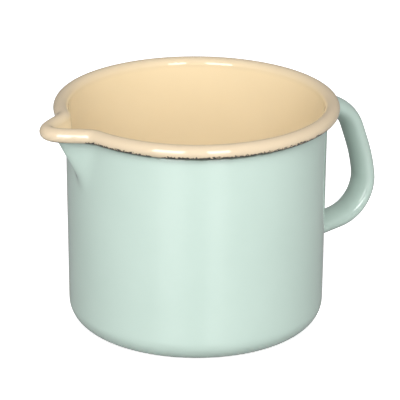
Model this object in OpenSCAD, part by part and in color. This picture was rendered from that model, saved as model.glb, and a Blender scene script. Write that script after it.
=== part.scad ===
// Enamelled sheet-steel milk pot with a pressed pouring lip and a welded loop handle.
// The pot stands on z = 0 with its axis on Z. The handle points to +X and the lip to -X.

/* [Pot] */
// Inside diameter at the rim, the nominal size of the pot
inner_d = 120; // [90:1:180]
// Height from the table to the top of the rolled rim
height = 109; // [80:1:160]
// How much smaller the outside diameter is at the base than under the rim
taper = 2; // [0:0.5:8]
// Outside radius of the corner between the base and the wall
corner_r = 11; // [7:0.5:18]
// Thickness of the steel sheet
sheet = 0.8; // [0.6:0.05:1.2]
// Thickness of a fired enamel coat
coat = 0.25; // [0.15:0.05:0.4]

/* [Rolled rim] */
// Width of the roll, from the inside of the wall to the outside of the rim
roll_w = 7; // [6.5:0.25:10]
// Height of the roll
roll_h = 6.6; // [5:0.2:9]
// Angle on the roll at which the cream enamel stops, 0 outwards and -90 straight down
cream_edge = -62; // [-80:1:-40]
// Angle on the roll at which the steel edge stops
sheet_edge = -122; // [-126:1:-110]
// Gap below the roll in which the dark ground coat shows
ground_gap = 1; // [0.5:0.1:2]

/* [Pouring lip] */
// How far the lip carries the rim outwards
lip_reach = 14.4; // [8:0.2:18]
// Half of the angle that the lip takes out of the rim
lip_half = 14.5; // [12:0.5:20]
// Depth of the lip, from the top of the rim to the foot of its keel
lip_depth = 36; // [24:1:45]
// Width of the keel at its foot, as a share of its width at the rim
lip_waist = 0.35; // [0.3:0.05:0.8]
// Share of the lip's depth in which the keel bends away from the wall
keel_bend = 0.35; // [0.1:0.05:0.5]

/* [Handle] */
// Width of the handle across the grip, over the enamel
grip_w = 16; // [12:0.5:24]
// Thickness of the handle, over the enamel
grip_t = 9.2; // [7:0.2:12]
// Drop from the top of the rim to the middle of the handle's upper root
handle_drop = 15; // [12:0.5:20]
// Angle at which the handle rises from its upper root
root_rise = 12; // [0:1:20]
// Length of the straight stub at the upper root
root_stub = 3; // [2:0.5:8]
// Radius of the upper bend, at the middle of the handle
upper_bend_r = 19.5; // [14:0.5:30]
// Length of the straight part of the grip
grip_length = 10; // [5:0.5:30]
// Angle of the grip from the vertical, leaning outwards
grip_lean = 19.5; // [5:0.5:30]
// Radius of the slow curve in the lower half of the grip
belly_r = 72; // [50:1:120]
// Angle from the vertical at which the slow curve ends
belly_lean = 6.5; // [0:0.5:15]
// Radius of the lower bend, at the middle of the handle
lower_bend_r = 19.2; // [14:0.2:26]
// Slope of the lower arm, down towards the wall
arm_slope = 10; // [0:1:25]
// Wall thickness of the handle's tube
tube_wall = 1; // [0.7:0.1:1.5]
// Leg of the weld fillet round each root
weld_leg = 1.2; // [0.8:0.1:2]

/* [Hidden] */

steel_colour = [0.55, 0.56, 0.58];
weld_colour = [0.42, 0.43, 0.45];
ground_colour = [0.12, 0.12, 0.13];
cream_colour = [0.96, 0.87, 0.71];
mint_colour = [0.74, 0.86, 0.80];

skin = sheet + 2 * coat;              // the whole wall, enamel, steel, enamel
roll_r = inner_d / 2 + roll_w / 2;    // radius of the middle of the roll
roll_z = height - roll_h / 2;         // height of the middle of the roll
wall_top_r = inner_d / 2 + skin;
wall_base_r = wall_top_r - taper / 2;
corner_in = wall_base_r - corner_r;   // radius of the flat of the base
lip_foot = height - lip_depth;        // height of the foot of the keel
jacket_top = height - roll_h - ground_gap;

// Steps of the faceted surfaces
corner_steps = 6;
wall_steps = 2;
lip_steps = 8;
roll_step = 22;
lip_zone = 22.5;
lip_zone_steps = 9;
handle_zone = 15;
handle_zone_steps = 4;
side_steps = 15;
tube_sides = 20;
bend_step = 11;

// ---- the wall and the roll, as a section through the axis ----

// Radius of the outside of the pot at height z, over the enamel
function wall_r(z) = z < corner_r
    ? corner_in + sqrt(corner_r * corner_r - (corner_r - z) * (corner_r - z))
    : wall_base_r + (wall_top_r - wall_base_r) * (z - corner_r) / (roll_z - corner_r);

// Share of the keel's height that lies below z, from 0 at its foot to 1 at the roll
function keel(z) = max(0, min(1, (z - lip_foot) / (roll_z - lip_foot)));

// Every section point is [radius, height, keel share]. The depth d is measured into the wall
// from its inner, cream face, so 0 is the cream surface and skin is the mint one.
function corner_points(d) = [for (i = [0:corner_steps])
    let (a = -90 + 90 * i / corner_steps, r = corner_r - skin + d)
    [corner_in + r * cos(a), corner_r + r * sin(a), 0]];

wall_levels = concat(
    [for (i = [1:wall_steps]) corner_r + (lip_foot - corner_r) * i / wall_steps],
    [for (i = [1:lip_steps - 1]) lip_foot + (roll_z - lip_foot) * i / lip_steps]);

function wall_point(z, d) = [wall_r(z) - skin + d, z, keel(z)];

function wall_points(d, top) = [for (z = wall_levels) if (z < top) wall_point(z, d)];

function roll_point(a, d) =
    [roll_r + (roll_w / 2 - d) * cos(a), roll_z + (roll_h / 2 - d) * sin(a), 1];

// Every layer has its points at the same angles of the roll, down to its own last angle
function roll_angles(last) = concat([for (a = [180:-roll_step:last + 1]) a], [last]);
function roll_points(d, last) = [for (a = roll_angles(last)) roll_point(a, d)];

function reversed(list) = [for (i = [len(list) - 1:-1:0]) list[i]];

// The section of one layer of the wall, out along its outer face and back along its inner one
function layer(outer, inner) = concat(outer, reversed(inner));

// The face at depth d from the flat of the base up over the roll, to the angle last on it
function cup_face(d, last) = concat(
    corner_points(d), wall_points(d, roll_z), roll_points(d, last));

// The face at depth d from the flat of the base to the top of the mint enamel
function jacket_face(d) = concat(
    corner_points(d), wall_points(d, jacket_top), [wall_point(jacket_top, d)]);

// ---- the lip, which carries the section outwards on one side ----

// Reach of the keel at a keel share t: a slow bend away from the wall, then a straight ramp
function ramp(t) = (t < keel_bend ? t * t / (2 * keel_bend) : t - keel_bend / 2)
    / (1 - keel_bend / 2);
function half_angle(t) = lip_half * (lip_waist + (1 - lip_waist) * t);
function bump(a, h) = abs(a) < h ? (1 + cos(180 * a / h)) / 2 : 0;
function bump_slope(a, h) = abs(a) < h ? -90 / h * sin(180 * a / h) : 0;

// A section point at the angle a from the lip. The middle line of the roll takes the lip's
// shape, and the rest of the section keeps its distance from that line.
function placed(a, p) = let (
    reach = lip_reach * ramp(p[2]),
    h = half_angle(p[2]),
    r = roll_r + reach * bump(a, h),
    q = reach * bump_slope(a, h),
    out = (p[0] - roll_r) / norm([r, q]),
    along = r + out * r,
    across = -out * q)
    [-along * cos(a) + across * sin(a), -along * sin(a) - across * cos(a), p[1]];

// Angles from the lip: close together at the lip and at the handle, wider between them
function spaced(from, to, n) = [for (i = [0:n - 1]) from + (to - from) * i / n];
turns = concat(
    spaced(-lip_zone, lip_zone, 2 * lip_zone_steps),
    spaced(lip_zone, 180 - handle_zone, side_steps),
    spaced(180 - handle_zone, 180 + handle_zone, 2 * handle_zone_steps),
    spaced(180 + handle_zone, 360 - lip_zone, side_steps));
function from_lip(a) = a > 180 ? a - 360 : a;

// A section carried round the pot. A closed section makes a ring. An open one starts and ends
// on the flat of the base, where its two ends are capped. The section comes back in its second
// half, so the diagonals change sides there, and two layers that touch share their facets.
module carried_round(section, closed) {
    n = len(turns);
    m = len(section);
    strips = closed ? m : m - 1;
    points = [for (a = turns, p = section) placed(from_lip(a), p)];
    sides = [for (i = [0:n - 1], j = [0:strips - 1])
        let (k = (i + 1) % n, l = (j + 1) % m,
             a = i * m + j, b = i * m + l, c = k * m + l, d = k * m + j)
        each j < m / 2 ? [[a, b, c], [a, c, d]] : [[a, b, d], [b, c, d]]];
    caps = closed ? [] : [[for (i = [0:n - 1]) i * m],
                          [for (i = [n - 1:-1:0]) i * m + m - 1]];
    polyhedron(points, concat(sides, caps), convexity = 8);
}

// ---- the handle, a tube bent in the XZ plane ----

function dir(a) = [cos(a), sin(a)];
function bend(centre, r, from, to) = let (n = ceil(abs(to - from) / bend_step))
    [for (i = [1:n]) let (a = from + (to - from) * i / n)
        concat(centre + r * dir(a + 90), a)];

grip_angle = grip_lean - 90;
belly_angle = belly_lean - 90;
arm_angle = arm_slope - 180;
top_z = height - handle_drop;
top_x = wall_r(top_z) - coat;
bend_1 = [top_x, top_z] + root_stub * dir(root_rise);
centre_1 = bend_1 + upper_bend_r * dir(root_rise - 90);
grip_start = centre_1 + upper_bend_r * dir(grip_angle + 90);
bend_2 = grip_start + grip_length * dir(grip_angle);
centre_2 = bend_2 + belly_r * dir(grip_angle - 90);
bend_3 = centre_2 + belly_r * dir(belly_angle + 90);
centre_3 = bend_3 + lower_bend_r * dir(belly_angle - 90);
arm_start = centre_3 + lower_bend_r * dir(arm_angle + 90);
arm_length = (arm_start[0] - wall_base_r) / cos(arm_slope);
arm_end = arm_start + arm_length * dir(arm_angle);

// Stations of the middle line, each [x, z, direction]. The roots stand at the two ends.
path = concat(
    [[top_x, top_z, root_rise],
     concat([top_x, top_z] + weld_leg * dir(root_rise), root_rise),
     concat(bend_1, root_rise)],
    bend(centre_1, upper_bend_r, root_rise, grip_angle),
    [concat(bend_2, grip_angle)],
    bend(centre_2, belly_r, grip_angle, belly_angle),
    bend(centre_3, lower_bend_r, belly_angle, arm_angle),
    [concat(arm_end - weld_leg * dir(arm_angle), arm_angle),
     concat(arm_end, arm_angle)]);
last = len(path) - 1;

// One point of the oval at station s, at the angle u round it, grown by the distance g
function oval_point(s, u, g) = let (
    up = (grip_t / 2 + g) * cos(u))
    [path[s][0] - up * sin(path[s][2]), (grip_w / 2 + g) * sin(u),
     path[s][1] + up * cos(path[s][2])];

// The same point slid along the handle until it meets the steel wall, for the two roots
function on_wall(p, a, tries = 4) = tries == 0 ? p : let (
    r = wall_r(p[2]) - coat,
    slide = (sqrt(r * r - p[1] * p[1]) - p[0]) / cos(a))
    on_wall(p + slide * [cos(a), 0, sin(a)], a, tries - 1);

function is_root(s) = s == 0 || s == last;
function tube_point(s, u, g) = is_root(s)
    ? on_wall(oval_point(s, u, g), path[s][2]) : oval_point(s, u, g);
function tube_ring(s, g) = [for (i = [0:tube_sides - 1]) tube_point(s, 360 * i / tube_sides, g)];

// A wall of the handle between two surfaces, each given by how far every station grows
module tube_solid(outer, inner) {
    rings = concat([for (s = [0:last]) tube_ring(s, outer[s])],
                   [for (s = [last:-1:0]) tube_ring(s, inner[s])]);
    loop_solid(rings);
}

// Rings of points joined one to the next, and the last to the first
module loop_solid(rings) {
    n = len(rings);
    faces = [for (i = [0:n - 1], j = [0:tube_sides - 1])
        let (k = (i + 1) % n, l = (j + 1) % tube_sides,
             a = i * tube_sides + j, b = i * tube_sides + l,
             c = k * tube_sides + l, d = k * tube_sides + j)
        each [[a, b, c], [a, c, d]]];
    polyhedron([for (ring = rings) each ring], faces, convexity = 8);
}

// Growth of the oval at each station: the same all along, and wider by the weld at the roots
function even_growth(g) = [for (s = [0:last]) g];
function rooted_growth(g) = [for (s = [0:last]) is_root(s) ? g + weld_leg : g];

// A fillet of weld metal in the corner between the wall and the tube
module weld(root, next) {
    rings = [tube_ring(root, weld_leg - coat), tube_ring(next, -coat), tube_ring(root, -coat)];
    loop_solid(root < next ? rings : reversed(rings));
}

// What the handle's enamelled root takes out of the enamel of the wall
module root_opening(root) {
    x = path[root][0];
    translate([x - grip_t / 2, 0, 0]) rotate([90, 0, 90])
        linear_extrude(grip_t)
            polygon([for (p = tube_ring(root, weld_leg)) [p[1], p[2]]]);
}

// ---- the pieces ----

// Drawn pot body: base, wall, pressed lip and rolled edge in one sheet
module steel_body() {
    color(steel_colour) carried_round(
        layer(cup_face(coat + sheet, sheet_edge), cup_face(coat, sheet_edge)), closed = false);
}

// Loop handle, pressed from sheet into a hollow oval with open ends
module handle_tube() {
    color(steel_colour) tube_solid(even_growth(-coat), even_growth(-coat - tube_wall));
}

module upper_weld() {
    color(weld_colour) weld(0, 1);
}

module lower_weld() {
    color(weld_colour) weld(last, last - 1);
}

// Dark ground enamel, bare in the groove under the roll, where both cover coats stop
module ground_coat() {
    edge = roll_point(sheet_edge, coat);
    under = [for (a = roll_angles(sheet_edge)) if (a < cream_edge - 1 && a > sheet_edge) a];
    color(ground_colour) carried_round(concat(
        [roll_point(cream_edge, 0), roll_point(cream_edge, coat)],
        [for (a = under) roll_point(a, coat)],
        [edge, wall_point(edge[1], skin - coat), wall_point(jacket_top, skin - coat),
         wall_point(jacket_top, skin)],
        reversed([for (a = under) roll_point(a + 6, 0)])),
        closed = true);
}

// Cream cover enamel: the whole inside, the lip and over the roll
module cream_lining() {
    color(cream_colour) carried_round(
        layer(cup_face(coat, cream_edge), cup_face(0, cream_edge)), closed = false);
}

// Mint cover enamel on the outside of the wall, open where the handle is welded on
module mint_jacket() {
    color(mint_colour) difference() {
        carried_round(layer(jacket_face(skin), jacket_face(skin - coat)), closed = true);
        root_opening(0);
        root_opening(last);
    }
}

// Mint cover enamel under the base, the face that the pot stands on
module mint_base() {
    color(mint_colour) linear_extrude(coat)
        polygon([for (a = turns) -corner_in * [cos(a), sin(a)]]);
}

// Mint cover enamel on the handle and over its two welds
module handle_coat() {
    color(mint_colour) tube_solid(rooted_growth(0), rooted_growth(-coat));
}

steel_body();
handle_tube();
upper_weld();
lower_weld();
ground_coat();
cream_lining();
mint_jacket();
mint_base();
handle_coat();
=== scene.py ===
# %% [markdown]
# # An enamelled milk pot
#
# The pot is one sheet of steel, drawn into a cup, rolled outwards at the rim and pressed into a
# pouring lip. A hollow loop handle is welded on opposite the lip. Everything that shows is
# enamel: cream inside and over the roll, mint green outside, and a thin broken line of the dark
# ground coat where the cream stops under the roll.
#
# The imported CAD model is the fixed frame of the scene. It says where every piece is, in metres,
# with +Z up, the handle at +X and the lip at -X. The first cell loads it and changes nothing.

# %% Load the frame
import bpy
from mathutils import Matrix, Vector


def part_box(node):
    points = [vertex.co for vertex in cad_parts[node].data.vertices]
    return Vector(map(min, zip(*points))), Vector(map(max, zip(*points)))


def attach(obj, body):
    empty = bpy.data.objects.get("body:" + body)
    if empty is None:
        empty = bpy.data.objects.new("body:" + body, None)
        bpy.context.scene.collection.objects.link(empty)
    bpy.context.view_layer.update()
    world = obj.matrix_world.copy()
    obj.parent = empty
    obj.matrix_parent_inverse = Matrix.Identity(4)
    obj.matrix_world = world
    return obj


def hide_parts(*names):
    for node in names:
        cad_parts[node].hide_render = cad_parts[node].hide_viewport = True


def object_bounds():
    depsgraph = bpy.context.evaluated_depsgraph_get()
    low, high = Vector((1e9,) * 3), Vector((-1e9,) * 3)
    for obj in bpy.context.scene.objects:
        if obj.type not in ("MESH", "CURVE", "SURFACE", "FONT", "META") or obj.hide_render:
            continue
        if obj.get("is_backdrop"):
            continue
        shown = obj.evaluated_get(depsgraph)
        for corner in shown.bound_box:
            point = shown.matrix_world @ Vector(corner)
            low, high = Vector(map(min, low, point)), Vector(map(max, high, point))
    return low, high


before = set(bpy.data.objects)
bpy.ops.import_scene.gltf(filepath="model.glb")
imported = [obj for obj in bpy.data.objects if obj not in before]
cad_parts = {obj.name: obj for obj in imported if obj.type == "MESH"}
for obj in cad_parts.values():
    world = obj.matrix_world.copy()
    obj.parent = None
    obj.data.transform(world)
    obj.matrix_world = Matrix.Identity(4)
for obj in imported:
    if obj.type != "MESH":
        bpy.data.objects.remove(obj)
print(len(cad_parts), "CAD nodes loaded")

# %% [markdown]
# The frame's own box is kept, because the finished model must not be larger than it. The pieces
# below are thought out in millimetres, as a drawing of a pot would be, and made metres at the end.

# %% Tools and units
from math import atan2, ceil, cos, degrees, hypot, pi, radians, sin, sqrt

import bmesh
import bpy
from mathutils import Matrix, Vector, noise

cad_box = [list(corner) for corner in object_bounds()]
MM = 0.001
UP = Vector((0, 0, 1))
print("nodes", sorted(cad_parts), "box", [round(v, 4) for v in cad_box[0] + cad_box[1]])

# %% [markdown]
# ## Sizes of the pot
#
# The boxes of the CAD nodes give the outer sizes, so the two models can't drift apart. A box can't
# tell the thickness of a coat or the shape of a bend. Those are named here once, in millimetres,
# with the values of the CAD model. The last line compares the two ways for the flat of the base.

# %% Sizes from the frame
cream_low, cream_high = (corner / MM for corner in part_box("cream_lining"))
HEIGHT = round(cream_high.z, 1)
RIM_R = round(cream_high.x, 1)
LIP_REACH = -cream_low.x - RIM_R
JACKET_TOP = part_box("mint_jacket")[1].z / MM
FLAT_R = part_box("mint_base")[1].x / MM

SHEET = 0.8           # thickness of the steel
COAT = 0.25           # thickness of each coat of enamel
SKIN = SHEET + 2 * COAT
TAPER = 2.0           # how much narrower the pot is at the base, across
CORNER_R = 11.0       # round corner between wall and base, outside
ROLL_W, ROLL_H = 7.0, 6.6
CREAM_EDGE = -62.0    # angles round the roll where the cream and the sheet stop
SHEET_EDGE = -122.0
LIP_DEPTH = 36.0      # from the rim down to the foot of the lip

ROLL_R = RIM_R - ROLL_W / 2
ROLL_Z = HEIGHT - ROLL_H / 2
WALL_TOP_R = RIM_R - ROLL_W + SKIN
WALL_BASE_R = WALL_TOP_R - TAPER / 2
LIP_FOOT = HEIGHT - LIP_DEPTH
print("flat of the base", round(FLAT_R, 2), "and from its corner", WALL_BASE_R - CORNER_R)

# %% [markdown]
# ## The section of the wall
#
# A drawn pot is round, so its shape is a section through the axis, carried round it. A point of
# the section is written as (radius, height, keel). Keel says how far up the pouring lip the point
# is: 0 below the lip's foot and 1 on the roll. Depth is measured into the wall from the cream
# face, so the coats and the sheet are the same curve at four depths. The layers could be made
# with one mesh and several Solidify modifiers, but sections at a depth keep every layer exactly
# on the next one, also round the tight curl of the roll.

# %% Wall and base at a depth
def wall_radius(z):
    """Radius of the outside of the pot at a height on the straight part of the wall."""
    return WALL_BASE_R + (WALL_TOP_R - WALL_BASE_R) * (z - CORNER_R) / (ROLL_Z - CORNER_R)


def on_wall(z, depth):
    keel = max(0.0, min(1.0, (z - LIP_FOOT) / (ROLL_Z - LIP_FOOT)))
    return (wall_radius(z) - SKIN + depth, z, keel)


def spread(low, high, steps):
    """Values from low to high with that many steps between them, both ends included."""
    return [low + (high - low) * i / steps for i in range(steps + 1)]


def cup_points(depth, top, floor_steps, corner_steps, wall_steps, lip_steps):
    """From the axis, along the base, round the corner and up the wall."""
    flat = WALL_BASE_R - CORNER_R
    corner = CORNER_R - SKIN + depth
    floor = [(r, SKIN - depth, 0.0) for r in spread(0, flat, floor_steps)[:-1]]
    bend = [(flat + corner * cos(a), CORNER_R + corner * sin(a), 0.0)
            for a in spread(-pi / 2, 0, corner_steps)]
    heights = spread(CORNER_R, LIP_FOOT, wall_steps)[1:] + spread(LIP_FOOT, top, lip_steps)[1:]
    return floor + bend + [on_wall(z, depth) for z in heights]


print("wall radius at the foot of the lip", round(wall_radius(LIP_FOOT), 2))

# %% [markdown]
# The rim is rolled outwards over a wire-sized hollow, a little wider than it is high. Its angles
# are counted as on a clock face seen from the side: 180 is the inner side, 90 the top, 0 the
# outer side and -90 the underside.

# %% The roll at a depth
def roll_points(depth, start, end, steps):
    wide, high = ROLL_W / 2 - depth, ROLL_H / 2 - depth
    return [(ROLL_R + wide * cos(radians(a)), ROLL_Z + high * sin(radians(a)), 1.0)
            for a in spread(start, end, steps)]


print("cream stops at height", round(roll_points(0, CREAM_EDGE, CREAM_EDGE, 1)[0][1], 2))

# %% [markdown]
# ## The pouring lip
#
# The lip is pressed into the round wall after the roll is made, so the roll keeps its width and
# only its path changes. The middle line of the roll gets a smooth bump, and every other point
# keeps its distance from that line. Below the roll the bump fades out and narrows, which leaves
# the keel under the lip. The lip could be a piece of its own, joined on, but moving the vertices
# of the finished round keeps the sheet in one piece, as in the press. The shoulders blend more
# softly than the CAD model's plain cosine. The two paths are never more than 0.5 mm apart.

# %% The shape of the press
LIP_HALF = 17.5       # half of the lip's angle on the roll, in degrees
LIP_SHOULDER = 1.5    # 1 is a plain cosine, more blends softer into the round
LIP_WAIST = 0.35      # width of the keel at its foot, as a share of the lip's
KEEL_BEND = 0.35      # share of the keel's height over which it bends away from the wall


def keel_reach(keel):
    """Reach of the keel: it bends away from the wall slowly and then rises straight."""
    grown = keel ** 2 / (2 * KEEL_BEND) if keel < KEEL_BEND else keel - KEEL_BEND / 2
    return LIP_REACH * grown / (1 - KEEL_BEND / 2)


def pressed(r, z, keel, angle):
    """Where the press leaves a point that was at radius r, at that angle from the lip."""
    half = radians(LIP_HALF) * (LIP_WAIST + (1 - LIP_WAIST) * keel)
    reach = keel_reach(keel)
    wave = (1 + cos(pi * angle / half)) / 2 if abs(angle) < half else 0.0
    bump = wave ** LIP_SHOULDER
    steep = -LIP_SHOULDER * wave ** (LIP_SHOULDER - 1) * pi / (2 * half) * sin(pi * angle / half)
    slope = steep if wave else 0.0
    line = ROLL_R + reach * bump
    out = (r - ROLL_R) / hypot(line, reach * slope)
    along, across = line * (1 + out), -out * reach * slope
    return Vector((-along * cos(angle) + across * sin(angle),
                   -along * sin(angle) - across * cos(angle), z))


print("tip of the lip", round(pressed(RIM_R, ROLL_Z, 1.0, 0.0).x, 2), "from", round(-RIM_R, 2))

# %% [markdown]
# A drawn and fired pot is never perfectly round: it has settled a little in the furnace. Two parts
# in a thousand of slow noise are enough to bend the reflections. The noise gets a fixed seed,
# because without one Blender takes it from the clock and every run would settle another way.
#
# The cream is wiped off under the roll by hand, so the bare edge is wider in some places than in
# others. A short table says how wide, and the width goes on the vertices as an attribute for the
# material to read. A painted mask would need an image, and this needs two numbers for each place.

# %% The marks of the making
# Angle in degrees from the lip, width in mm of the bare edge under the roll
BARE_EDGE = ((-180, 1.2), (-120, 1.5), (-90, 0.8), (-50, 1.5), (-20, 1.1), (-6, 0.2), (2, 0.3),
             (4, 1.3), (6, 0.0), (10, 0.0), (11, 1.5), (14, 1.9), (34, 1.9), (41, 1.5), (43, 0.6),
             (46, 0.6), (48, 1.7), (62, 1.8), (84, 1.9), (110, 2.1), (130, 1.9), (160, 1.2),
             (180, 1.2))


def bare_width(angle):
    for (low, first), (high, second) in zip(BARE_EDGE, BARE_EDGE[1:]):
        if angle <= high:
            return first + (second - first) * (angle - low) / (high - low)
    return BARE_EDGE[-1][1]


SETTLE_SEED = 11
SETTLE_SCALE = 0.022  # waves per mm
SETTLE_BY = 0.15      # mm at most
noise.seed_set(SETTLE_SEED)


def settled(point):
    wave = noise.noise_vector(point * SETTLE_SCALE)
    return point + Vector((wave.x, wave.y, 0.0)) * SETTLE_BY


def press_lip(bm):
    keel = bm.verts.layers.float["keel"]
    bare = bm.verts.layers.float.new("bare")
    for v in bm.verts:
        r, angle = hypot(v.co.x, v.co.y), atan2(-v.co.y, -v.co.x)
        v[bare] = bare_width(degrees(angle))
        v.co = settled(pressed(r, v.co.z, v[keel], angle)) if r > 0.01 else v.co


print("bare edge at the middle of the front", bare_width(60), "mm")

# %% [markdown]
# ## Turning a section into a coat
#
# A coat is a thin closed shell. Its section goes up one face of the coat and back down the other,
# and the spin operator carries it round the axis, 360 steps for a clean outline close up. The
# vertices carry two values along: the keel value for the press, and the distance in millimetres
# from the free edge of the coat, which the materials read where the enamel thins out. A Screw
# modifier could turn the section too, but it couldn't carry those values through the press.

# %% From a bmesh to a finished piece
def finish_mesh(bm, name, material):
    """Turns a bmesh in millimetres into a smooth-shaded object in metres."""
    bmesh.ops.scale(bm, vec=(MM, MM, MM), verts=bm.verts)
    mesh = bpy.data.meshes.new(name)
    bm.to_mesh(mesh)
    bm.free()
    mesh.shade_smooth()
    piece = bpy.data.objects.new(name, mesh)
    bpy.context.scene.collection.objects.link(piece)
    piece.data.materials.append(material)
    print(name, len(mesh.polygons), "faces")
    return piece


def stands_for(piece, slot, *nodes):
    """The piece rides on the pot's one body, in the place of those CAD nodes."""
    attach(piece, "root")
    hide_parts(*nodes)


# %% [markdown]
# The spin gets a merge at its end, so the first and the last step are one. What lies on the axis
# is merged next, which closes the middle of the base. Only then are the normals recalculated: a
# spun shell may have come out inside out, and doubles would hide that.

# %% Spin a section round the axis
TURNS = 360


def walk(line, edge, edge_at):
    """Writes on each vertex its distance along the section from the free edge."""
    for step, places in ((1, range(edge_at, len(line))), (-1, range(edge_at, -1, -1))):
        walked = 0.0
        for i in places:
            walked += (line[i].co - line[i - step].co).length if i != edge_at else 0.0
            line[i][edge] = walked


def spun_coat(name, section, edge_at, material):
    """section is a list of (radius, height, keel), and edge_at the place in it of the edge."""
    bm = bmesh.new()
    keel = bm.verts.layers.float.new("keel")
    edge = bm.verts.layers.float.new("edge")
    line = [bm.verts.new((r, 0, z)) for r, z, _ in section]
    for v, (_, _, share) in zip(line, section):
        v[keel] = share
    walk(line, edge, edge_at)
    edges = [bm.edges.new(pair) for pair in zip(line, line[1:])]
    if section[0][0] > 0.01:
        edges.append(bm.edges.new((line[-1], line[0])))
    bmesh.ops.spin(bm, geom=line + edges, cent=(0, 0, 0), axis=(0, 0, 1), angle=2 * pi,
                   steps=TURNS, use_merge=True, use_duplicate=False)
    bmesh.ops.remove_doubles(bm, verts=bm.verts, dist=0.0001)
    press_lip(bm)
    bmesh.ops.recalc_face_normals(bm, faces=bm.faces)
    return finish_mesh(bm, name, material)


print("one step is", round(2 * pi * RIM_R / TURNS, 2), "mm long on the rim")

# %% [markdown]
# ## Node helpers
#
# A material is a tree of nodes. Written out in full, each node takes four lines, and the idea
# behind it gets lost. These few helpers make one node each and return the socket to read from.

# %% Helpers for node trees
def new_material(name):
    material = bpy.data.materials.new(name)
    material.use_nodes = True
    return material, material.node_tree, material.node_tree.nodes["Principled BSDF"]


def node(tree, kind, inputs=None, **settings):
    made = tree.nodes.new(kind)
    for key, value in settings.items():
        setattr(made, key, value)
    for key, value in (inputs or {}).items():
        give(tree, made.inputs[key], value)
    return made


def give(tree, socket, value):
    """Links a socket to another one, or sets its own value."""
    if isinstance(value, bpy.types.NodeSocket):
        tree.links.new(value, socket)
    else:
        socket.default_value = value


print("helpers: new_material, node, give")

# %% [markdown]
# Noise gives the variation of a surface, a map range brings it to the strength that is wanted, a
# mix blends two colours with it, and an attribute reads what the mesh carries.

# %% Noise, range, mix and attribute
def noise_value(tree, where, scale, detail=2.0, rough=0.5):
    made = node(tree, "ShaderNodeTexNoise", {"Vector": where, "Scale": scale, "Detail": detail,
                                             "Roughness": rough})
    return made.outputs["Fac"]


def remap(tree, value, low, high, to_low=0.0, to_high=1.0):
    made = node(tree, "ShaderNodeMapRange", {"Value": value, "From Min": low, "From Max": high,
                                             "To Min": to_low, "To Max": to_high})
    return made.outputs["Result"]


def blend_colour(tree, factor, first, second):
    made = node(tree, "ShaderNodeMix", data_type="RGBA")
    for key, value in (("Factor", factor), ("A", first), ("B", second)):
        give(tree, [s for s in made.inputs if s.name == key and s.enabled][0], value)
    return [s for s in made.outputs if s.enabled][0]


def calc(tree, operation, first, second=0.0):
    return node(tree, "ShaderNodeMath", {0: first, 1: second}, operation=operation).outputs[0]


def attribute(tree, name):
    return node(tree, "ShaderNodeAttribute", attribute_name=name).outputs["Fac"]


def object_place(tree):
    return node(tree, "ShaderNodeTexCoord").outputs["Object"]


print("helpers: noise_value, remap, blend_colour, calc, attribute, object_place")

# %% [markdown]
# ## Enamel
#
# Enamel is glass, coloured through, so it has a hard and clear gloss over a body colour. What
# makes it look like enamel and not like paint is small: the surface is a little wavy from the
# firing, the colour drifts where the coat is thicker, and the gloss breathes. Two sizes of wave
# go into the bump: slow ones, 10 mm long, bend the reflections, and fine ones give the orange
# peel that shows in the edge of a highlight. A texture photo would fix the size of all this and
# show seams, so it is worked out from Object coordinates, in metres.

# %% Fired cover enamel
def enamel(name, thick, thin, gloss=0.032):
    """thick and thin are the enamel's colours where the coat is thick or thin."""
    material, tree, shader = new_material(name)
    where = object_place(tree)
    colour = blend_colour(tree, remap(tree, noise_value(tree, where, 28.0, 3.0), 0.3, 0.7),
                          thick, thin)
    breath = noise_value(tree, where, 60.0, 4.0)
    roughness = remap(tree, breath, 0.25, 0.75, gloss * 0.7, gloss * 1.6)
    peel = calc(tree, "MULTIPLY", noise_value(tree, where, 420.0, 1.0), 0.25)
    relief = calc(tree, "ADD", peel, noise_value(tree, where, 75.0, 1.0))
    bump = node(tree, "ShaderNodeBump", {"Height": relief, "Strength": 0.25,
                                         "Distance": 0.0002})
    give(tree, shader.inputs["Base Color"], colour)
    give(tree, shader.inputs["Roughness"], roughness)
    give(tree, shader.inputs["Normal"], bump.outputs["Normal"])
    shader.inputs["IOR"].default_value = 1.56
    print(name, len(tree.nodes), "nodes")
    return material, tree, shader, colour, roughness


MINT_THICK = (0.45, 0.56, 0.505, 1.0)
MINT_THIN = (0.435, 0.545, 0.49, 1.0)
mint = enamel("mint_enamel", MINT_THICK, MINT_THIN)[0]

# %% [markdown]
# On the wall the mint ends in a free edge up in the groove under the roll. Over the last 0.9 mm it
# darkens: partly the thin sprayed coat with the dark ground showing through, partly painted shade
# under the roll. The edge attribute tells how near it is, and a little noise keeps the line from
# looking drawn. The handle has no such edge, so it keeps the plain enamel and the wall gets a copy
# with this addition.

# %% Mint on the wall
MINT_EDGE_THIN_AND_SHADED = (0.22, 0.265, 0.21, 1.0)
mint_wall, tree, shader, colour, _ = enamel("mint_wall_enamel", MINT_THICK, MINT_THIN)
ragged = remap(tree, noise_value(tree, object_place(tree), 350.0), 0.3, 0.7, -0.3, 0.3)
from_edge = calc(tree, "ADD", attribute(tree, "edge"), ragged)
# Painted shade under the roll together with the thin coat: the mint is darker near its edge
thinned_and_shaded = remap(tree, from_edge, 0.1, 0.9, 1.0, 0.0)
give(tree, shader.inputs["Base Color"], blend_colour(tree, thinned_and_shaded, colour, MINT_EDGE_THIN_AND_SHADED))
print("mint thins out over the last 0.9 mm")
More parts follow.
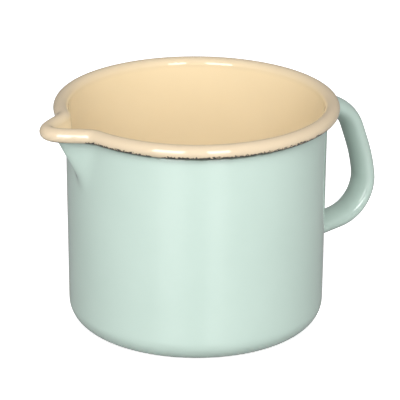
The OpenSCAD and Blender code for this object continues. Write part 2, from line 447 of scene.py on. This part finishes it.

# %% [markdown]
# The cream is one coat from the middle of the base to the underside of the roll. On the roll it is
# darker: partly a thinner coat over the dark ground, partly painted shade that tones down the
# brightly lit roll. Round its free edge it is chipped and wiped: dark nibbles of the ground coat,
# well under a millimetre each, in a broken line. Fine noise on the width from the table makes them,
# and the ramp between dark and cream is short, as the edge of a glass coat is crisp. The bare
# ground is dull, so it gets a rougher surface.

# %% Cream with a ragged edge
GROUND = (0.014, 0.011, 0.007, 1.0)
CREAM_THICK = (0.785, 0.645, 0.42, 1.0)
CREAM_THIN = (0.77, 0.63, 0.405, 1.0)
CREAM_ON_ROLL_THIN_AND_SHADED = (0.62, 0.505, 0.355, 1.0)
cream, tree, shader, colour, roughness = enamel("cream_enamel", CREAM_THICK, CREAM_THIN)
edge_mm = attribute(tree, "edge")
# Painted shade with a thinner coat: the cream is darker over the roll, up to 9 mm from its edge
colour = blend_colour(tree, remap(tree, edge_mm, 9.0, 16.0, 1.0, 0.0), colour, CREAM_ON_ROLL_THIN_AND_SHADED)
nibbles = remap(tree, noise_value(tree, object_place(tree), 1000.0, 2.0, 0.6), 0.38, 0.62, 0.6, 1.4)
reach = calc(tree, "MULTIPLY", attribute(tree, "bare"), nibbles)
bare = remap(tree, calc(tree, "SUBTRACT", edge_mm, reach), -0.03, 0.08, 1.0, 0.0)
give(tree, shader.inputs["Base Color"], blend_colour(tree, bare, colour, GROUND))
dulled = calc(tree, "MULTIPLY", bare, 0.6)
give(tree, shader.inputs["Roughness"], calc(tree, "MAXIMUM", roughness, dulled))
print("nibbles reach", round(bare_width(60) * 1.4, 2), "mm at most in front")

# %% [markdown]
# ## Ground coat and metal
#
# The ground coat is a dark, blackish brown glass that makes the cover coats hold on to the steel.
# The steel itself shows nowhere on the finished pot, but it is there, for a cut-open view and for
# whoever reuses the part, so it gets a real finish: drawn sheet, pickled dull before the enamel.
# The welds are the same metal with coarser, darker scale.

# %% Ground enamel
ground, tree, shader = new_material("ground_enamel")
tone = noise_value(tree, object_place(tree), 350.0, 3.0)
give(tree, shader.inputs["Base Color"], blend_colour(tree, tone, GROUND, (0.05, 0.045, 0.03, 1)))
give(tree, shader.inputs["Roughness"], remap(tree, tone, 0.3, 0.7, 0.25, 0.5))
print("ground_enamel", len(tree.nodes), "nodes")


# %% [markdown]
# One function makes both metals, because they differ only in their tones and in the grain.

# %% Steel and weld metal
def metal(name, dark, light, grain, dull, duller):
    material, tree, shader = new_material(name)
    tone = noise_value(tree, object_place(tree), grain, 4.0)
    bump = node(tree, "ShaderNodeBump", {"Height": tone, "Strength": 0.3, "Distance": 0.00008})
    give(tree, shader.inputs["Base Color"], blend_colour(tree, tone, dark, light))
    give(tree, shader.inputs["Roughness"], remap(tree, tone, 0.3, 0.7, dull, duller))
    give(tree, shader.inputs["Normal"], bump.outputs["Normal"])
    shader.inputs["Metallic"].default_value = 1.0
    print(name, len(tree.nodes), "nodes")
    return material


steel = metal("drawn_steel", (0.42, 0.43, 0.45, 1), (0.56, 0.57, 0.58, 1), 200.0, 0.3, 0.5)
weld_metal = metal("weld_metal", (0.16, 0.15, 0.15, 1), (0.42, 0.41, 0.4, 1), 900.0, 0.4, 0.65)

# %% [markdown]
# ## The cream coat
#
# The cream starts at the middle of the base inside, climbs the wall, goes over the roll and stops
# at its underside. Its section has many more points on the visible face than on the back, which
# lies on the steel: the roll is a tight curve that shows highlights, and the back shows nothing.
# The few steps of a hidden face are named once, for all the layers.

# %% The cream coat
HIDDEN_CUP = (3, 5, 3, 8)   # steps on base, corner, wall and lip
HIDDEN_ROLL = 16
CREAM_FACE = cup_points(0, ROLL_Z, 8, 14, 14, 26) + roll_points(0, 180, CREAM_EDGE, 48)[1:]
CREAM_BACK = (cup_points(COAT, ROLL_Z, *HIDDEN_CUP)
              + roll_points(COAT, 180, CREAM_EDGE, HIDDEN_ROLL)[1:])
cream_coat = spun_coat("cream_coat", CREAM_FACE + CREAM_BACK[::-1], len(CREAM_FACE) - 1, cream)
stands_for(cream_coat, "cream_enamel", "cream_lining")

# %% [markdown]
# ## The mint coat
#
# Outside, the mint runs from the groove under the roll, down the wall, round the corner and over
# the underside in one coat. The CAD model splits it at the corner into a jacket and a base, since
# each must be a simple solid. On the real pot there is no seam, so one piece stands for both.

# %% The mint coat of wall and base
MINT_FACE = cup_points(SKIN, JACKET_TOP, 8, 16, 18, 30)
MINT_BACK = cup_points(SKIN - COAT, JACKET_TOP, *HIDDEN_CUP)
mint_coat = spun_coat("mint_coat", MINT_FACE + MINT_BACK[::-1], len(MINT_FACE) - 1, mint_wall)
stands_for(mint_coat, "mint_enamel", "mint_jacket", "mint_base")

# %% [markdown]
# ## The ground coat
#
# Where neither cover coat reaches, the ground coat is bare: on the underside of the roll, round
# the cut edge of the sheet and in the groove. It is a narrow ring with a closed section that
# starts at the cream's edge, follows the steel into the groove and comes back along its own face.

# %% The ground coat under the roll
GROOVE_EDGE = -113    # angle round the roll where its own face leaves the groove
groove_z = roll_points(COAT, SHEET_EDGE, SHEET_EDGE, 1)[0][1]
GROUND_SECTION = (roll_points(COAT, CREAM_EDGE, SHEET_EDGE, 8)
                  + [on_wall(groove_z, SKIN - COAT), on_wall(JACKET_TOP, SKIN - COAT),
                     on_wall(JACKET_TOP, SKIN)]
                  + roll_points(0, GROOVE_EDGE, CREAM_EDGE, 8))
ground_line = spun_coat("ground_line", GROUND_SECTION, 0, ground)
stands_for(ground_line, "ground_enamel", "ground_coat")

# %% [markdown]
# ## The steel sheet
#
# Inside the enamel is the sheet that carries it all, 0.8 mm thick from the base to the end of the
# roll. It uses the same sections at the depths between the coats, with few points, as it is
# hidden.

# %% The steel sheet
def sheet_face(depth):
    return (cup_points(depth, ROLL_Z, *HIDDEN_CUP)
            + roll_points(depth, 180, SHEET_EDGE, HIDDEN_ROLL)[1:])


STEEL_FACE, STEEL_BACK = sheet_face(COAT), sheet_face(COAT + SHEET)
steel_sheet = spun_coat("steel_sheet", STEEL_FACE + STEEL_BACK[::-1], len(STEEL_FACE) - 1, steel)
stands_for(steel_sheet, "steel", "steel_body")

# %% [markdown]
# ## The handle
#
# The handle is a hollow oval tube, bent in one plane: a short stub, a bend down, a slightly
# curved grip, and a second bend that sends it back to the wall as a slanting arm. A curve with a
# bevel object would give such a tube in a few lines, but its ends would have to be cut to the
# round wall afterwards. Here a ring of vertices in the shape of the oval is extruded along the
# straight stretches and spun round the centre of each bend, as a bending machine would do it.

# %% The line of the handle
GRIP_W, GRIP_T = 16.0, 9.2
TUBE_WALL = 1.0
HANDLE_DROP = 15.0    # from the rim down to the middle of the upper root
ROOT_RISE = 12.0      # angle of the stub above the level
ROOT_STUB = 3.0
ARM_SLOPE = 10.0
GRIP_LENGTH = 10.0
# Radius of the bend, the direction after it in degrees, and the straight stretch that follows
BENDS = ((19.5, -70.5, GRIP_LENGTH), (72.0, -83.5, 0), (19.2, ARM_SLOPE - 180, 0))
OVAL_SIDES = 32
upper_root = Vector((wall_radius(HEIGHT - HANDLE_DROP), 0, HEIGHT - HANDLE_DROP))


def direction(angle):
    return Vector((cos(radians(angle)), 0, sin(radians(angle))))


print("upper root", [round(c, 2) for c in upper_root])

# %% [markdown]
# Two moves are needed. Extruding takes the open ring of edges and shifts what comes out of it.
# Spinning does the same round the centre of a bend, in steps of five degrees.

# %% Extrude and bend a ring
def ring_edges(geom):
    return [g for g in geom if isinstance(g, bmesh.types.BMEdge)]


def extruded(bm, edges, angle, length, steps):
    for _ in range(steps):
        geom = bmesh.ops.extrude_edge_only(bm, edges=edges)["geom"]
        verts = {g for g in geom if isinstance(g, bmesh.types.BMVert)}
        edges = [e for e in ring_edges(geom) if set(e.verts) <= verts]
        bmesh.ops.translate(bm, vec=direction(angle) * (length / steps), verts=list(verts))
    return edges


def bent(bm, edges, centre, angle, to_angle):
    geom = bmesh.ops.spin(bm, geom=edges, cent=centre, axis=(0, 1, 0),
                          angle=radians(angle - to_angle), steps=ceil((angle - to_angle) / 5),
                          use_duplicate=False)["geom_last"]
    return ring_edges(geom)


print("steps in the upper bend", ceil((ROOT_RISE - BENDS[0][1]) / 5))

# %% [markdown]
# The same line serves for the enamelled outside and, a coat's thickness smaller, for the tube
# inside it. So the oval has a parameter, grow, that widens it all round.

# %% The tube along the line
def bent_tube(grow):
    """The open tube in mm, and the point where its middle meets the wall below."""
    bm = bmesh.new()
    angle, place = ROOT_RISE, upper_root
    across = Matrix((Vector((0, 1, 0)), direction(angle + 90), direction(angle))).transposed()
    ring = bmesh.ops.create_circle(bm, segments=OVAL_SIDES, radius=1.0)["verts"]
    bmesh.ops.scale(bm, vec=(GRIP_W / 2 + grow, GRIP_T / 2 + grow, 1), verts=ring)
    bmesh.ops.transform(bm, matrix=Matrix.Translation(place) @ across.to_4x4(), verts=ring)
    edges = extruded(bm, list(bm.edges), angle, ROOT_STUB - COAT, 5)
    place = place + direction(angle) * (ROOT_STUB - COAT)
    for radius, to_angle, length in BENDS:
        centre = place + direction(angle - 90) * radius
        edges = bent(bm, edges, centre, angle, to_angle)
        angle, place = to_angle, centre + direction(to_angle + 90) * radius
        if length:
            edges = extruded(bm, edges, angle, length, 2)
            place = place + direction(angle) * length
    arm = (place.x - WALL_BASE_R) / cos(radians(ARM_SLOPE))
    extruded(bm, edges, angle, arm, max(6, ceil(arm / 0.6)))
    return bm, place + direction(angle) * arm


coat_mesh, lower_root = bent_tube(0.0)
print("the arm meets the wall at", [round(c, 2) for c in lower_root])

# %% [markdown]
# The ends of a straight-cut tube don't fit a round wall. Each vertex near a root slides along the
# handle's own direction until the end lies on the wall, which is what grinding the end to fit
# does. Over the welds the enamel flows into a small fillet, so the coat flares out there. A
# boolean could cut the ends too, but it would leave a ragged ring and no fillet.

# %% Seat the roots on the wall
FILLET = 1.6
ARM_REACH = 8.0       # length of the arm over which the fit fades out
ROOT_HALF = 12        # vertices further up or down than this belong to the other root


def wall_gap(point, angle, sink):
    """Length along the handle's direction from a point to the wall, sink mm under its face."""
    slide = 0.0
    for _ in range(5):
        at = point + direction(angle) * slide
        radius = wall_radius(at.z) - sink
        slide += (sqrt(radius ** 2 - at.y ** 2) - at.x) / direction(angle).x
    return slide


def seat_roots(bm, sink, fillet):
    for root, angle, reach in ((upper_root, ROOT_RISE, ROOT_STUB),
                               (lower_root, ARM_SLOPE, ARM_REACH)):
        along = direction(angle)
        for v in bm.verts:
            away = (v.co - root).dot(along)
            if away > reach or abs(v.co.z - root.z) > ROOT_HALF:
                continue
            fade = 1 - max(away, 0.0) / reach
            v.co += along * wall_gap(v.co - along * away, angle, sink) * fade
            if away < fillet:
                opened = fillet - sqrt(fillet ** 2 - (fillet - max(away, 0.0)) ** 2)
                middle = root + along * (v.co - root).dot(along)
                v.co += (v.co - middle).normalized() * opened


seat_roots(coat_mesh, 0.0, FILLET)
print("fillet", FILLET, "mm")

# %% [markdown]
# The coat of the handle is that surface with a wall of enamel behind it. Solidify adds the
# thickness inwards, after the normals are set outwards, and a Subdivision Surface rounds the
# steps of the bends. Its levels are the same in the viewport and in the render.

# %% The enamelled handle
def walled(bm, name, material, thickness, levels):
    bmesh.ops.recalc_face_normals(bm, faces=bm.faces)
    piece = finish_mesh(bm, name, material)
    wall = piece.modifiers.new("wall", "SOLIDIFY")
    wall.thickness = thickness * MM
    wall.offset = -1
    smooth = piece.modifiers.new("smooth", "SUBSURF")
    smooth.levels = smooth.render_levels = levels
    return piece


handle_enamel = walled(coat_mesh, "handle_enamel", mint, COAT, 2)
stands_for(handle_enamel, "mint_enamel", "handle_coat")

# %% [markdown]
# Under the enamel the tube goes on to the steel of the wall. It has no fillet, because the weld
# fills that corner. The two welds keep their CAD shape, a bead round each root, and only get
# their material. A CAD node's own object takes it in its material slots.

# %% The steel tube and its welds
tube_mesh, lower_root = bent_tube(-COAT)
seat_roots(tube_mesh, COAT, 0.0)
tube = walled(tube_mesh, "handle_steel", steel, TUBE_WALL, 1)
stands_for(tube, "steel", "handle_tube")
for name in ("upper_weld", "lower_weld"):
    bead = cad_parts[name]
    for place in bead.material_slots:
        place.material = weld_metal
    print(name, "has", len(bead.material_slots), "slot with", bead.active_material.name)

# %% [markdown]
# ## Camera
#
# A long lens from a metre and a half looks down at the pot by about twenty degrees, so the rim is
# a flat oval and the sides stay almost upright. The aim is a point just above half the height.

# %% Camera
AZIMUTH, ELEVATION, DISTANCE = -30.0, 20.82, 1.4839
ROLL = 0.28
AIM_RIGHT, AIM_UP = 0.0018, 0.0587


def around(azimuth, elevation):
    a, e = radians(azimuth), radians(elevation)
    return Vector((sin(a) * cos(e), -cos(a) * cos(e), sin(e)))


def look_from(place, target, roll=0.0):
    back = (place - target).normalized()
    right = UP.cross(back).normalized()
    turn = Matrix((right, back.cross(right), back)).transposed().to_4x4()
    return Matrix.Translation(place) @ turn @ Matrix.Rotation(radians(roll), 4, "Z")


camera = bpy.data.objects.new("camera", bpy.data.cameras.new("camera"))
bpy.context.scene.collection.objects.link(camera)
camera.data.lens = 282.8
camera.data.sensor_width = 36.0
target = around(AZIMUTH + 90, 0) * AIM_RIGHT + UP * AIM_UP
camera.matrix_world = look_from(target + around(AZIMUTH, ELEVATION) * DISTANCE, target, ROLL)
bpy.context.scene.camera = camera
print("camera", [round(c, 3) for c in camera.location], "lens", camera.data.lens)

# %% [markdown]
# ## Light
#
# Gloss shows its lamps. Two upright softboxes left and right of the camera draw the pair of
# highlights on the roll. Part of their power comes from glints, lamps in the same place that only
# reflections see, so that the highlights are bright and the colours aren't washed out. Large
# fills from the front, the sides and the back light the pot evenly. They are hidden from
# reflections, because a studio's walls are too large and too dim to be seen as shapes.

# %% Lamps
# Name, azimuth from the camera, elevation, distance, width, height, power
LAMPS = (("left_softbox", -21.5, 19, 1.2, 0.49, 0.78, 4.0),
         ("right_softbox", 18, 19, 1.2, 0.34, 0.78, 2.9),
         ("left_glint", -21.5, 19, 1.19, 0.49, 0.78, 6.5),
         ("right_glint", 18, 19, 1.19, 0.34, 0.78, 4.6),
         ("front_fill", 0, 36, 1.6, 1.4, 0.7, 21.5),
         ("back_fill", 180, 28, 1.6, 1.4, 0.7, 7.0),
         ("left_fill", -75, 20, 1.4, 0.5, 0.8, 3.1),
         ("right_fill", 75, 20, 1.4, 0.5, 0.8, 4.6))
LAMP_AIM = UP * 0.06
for name, azimuth, elevation, distance, width, height, power in LAMPS:
    data = bpy.data.lights.new(name, "AREA")
    data.shape = "RECTANGLE"
    data.size, data.size_y, data.energy = width, height, power
    lamp = bpy.data.objects.new(name, data)
    bpy.context.scene.collection.objects.link(lamp)
    place = LAMP_AIM + around(AZIMUTH + azimuth, elevation) * distance
    lamp.matrix_world = look_from(place, LAMP_AIM)
    lamp.visible_glossy = "fill" not in name
    lamp.visible_diffuse = "glint" not in name
print(len(LAMPS), "lamps,", sum(lamp[-1] for lamp in LAMPS), "W")

# %% [markdown]
# A dim, even world fills the shadows that no lamp reaches, such as the inside of the handle. The
# camera sees it as white, so that there is no grey band above the floor in a view from low down.
# A white world for the light too would be simpler, but it would flatten the shading.

# %% World
world = bpy.data.worlds.new("studio")
bpy.context.scene.world = world
world.use_nodes = True
background = world.node_tree.nodes["Background"]
background.inputs["Color"].default_value = (1, 1, 1, 1)
WORLD_LIT, WORLD_SEEN = 0.22, 1.0
seen = node(world.node_tree, "ShaderNodeLightPath").outputs["Is Camera Ray"]
give(world.node_tree, background.inputs["Strength"],
     remap(world.node_tree, seen, 0.0, 1.0, WORLD_LIT, WORLD_SEEN))
bpy.context.scene.view_settings.view_transform = "Standard"
print("the world lights with", WORLD_LIT, "and is seen as", WORLD_SEEN)

# %% [markdown]
# ## Floor
#
# The pot stands on a plain, pale floor that reaches past the horizon, so there is no edge in any
# view. To the camera the floor is nearly white, as in a picture for a catalogue. For the light
# that it throws back on the pot it is a mid grey: a white floor would wipe out the shading under
# the roll and on the underside of the handle. The Light Path node tells the two cases apart.

# %% Floor
FLOOR_SEEN, FLOOR_LIT = (0.90, 0.90, 0.90, 1), (0.42, 0.42, 0.42, 1)
floor_mesh = bmesh.new()
bmesh.ops.create_grid(floor_mesh, x_segments=1, y_segments=1, size=4000)
floor_material, tree, shader = new_material("pale_floor")
seen = node(tree, "ShaderNodeLightPath").outputs["Is Camera Ray"]
give(tree, shader.inputs["Base Color"], blend_colour(tree, seen, FLOOR_LIT, FLOOR_SEEN))
give(tree, shader.inputs["Emission Strength"], calc(tree, "MULTIPLY", seen, 0.72))
shader.inputs["Emission Color"].default_value = (1, 1, 1, 1)
shader.inputs["Roughness"].default_value = 0.4
floor = finish_mesh(floor_mesh, "floor", floor_material)
floor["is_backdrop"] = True

# %% [markdown]
# ## Sizes
#
# The box of the frame and the box of the finished model are written side by side. They should
# differ by less than a millimetre.

# %% Compare the sizes
visual_box = [list(corner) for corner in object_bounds()]
for low, high in zip(cad_box, visual_box):
    print("cad", [round(v, 4) for v in low], "visual", [round(v, 4) for v in high])
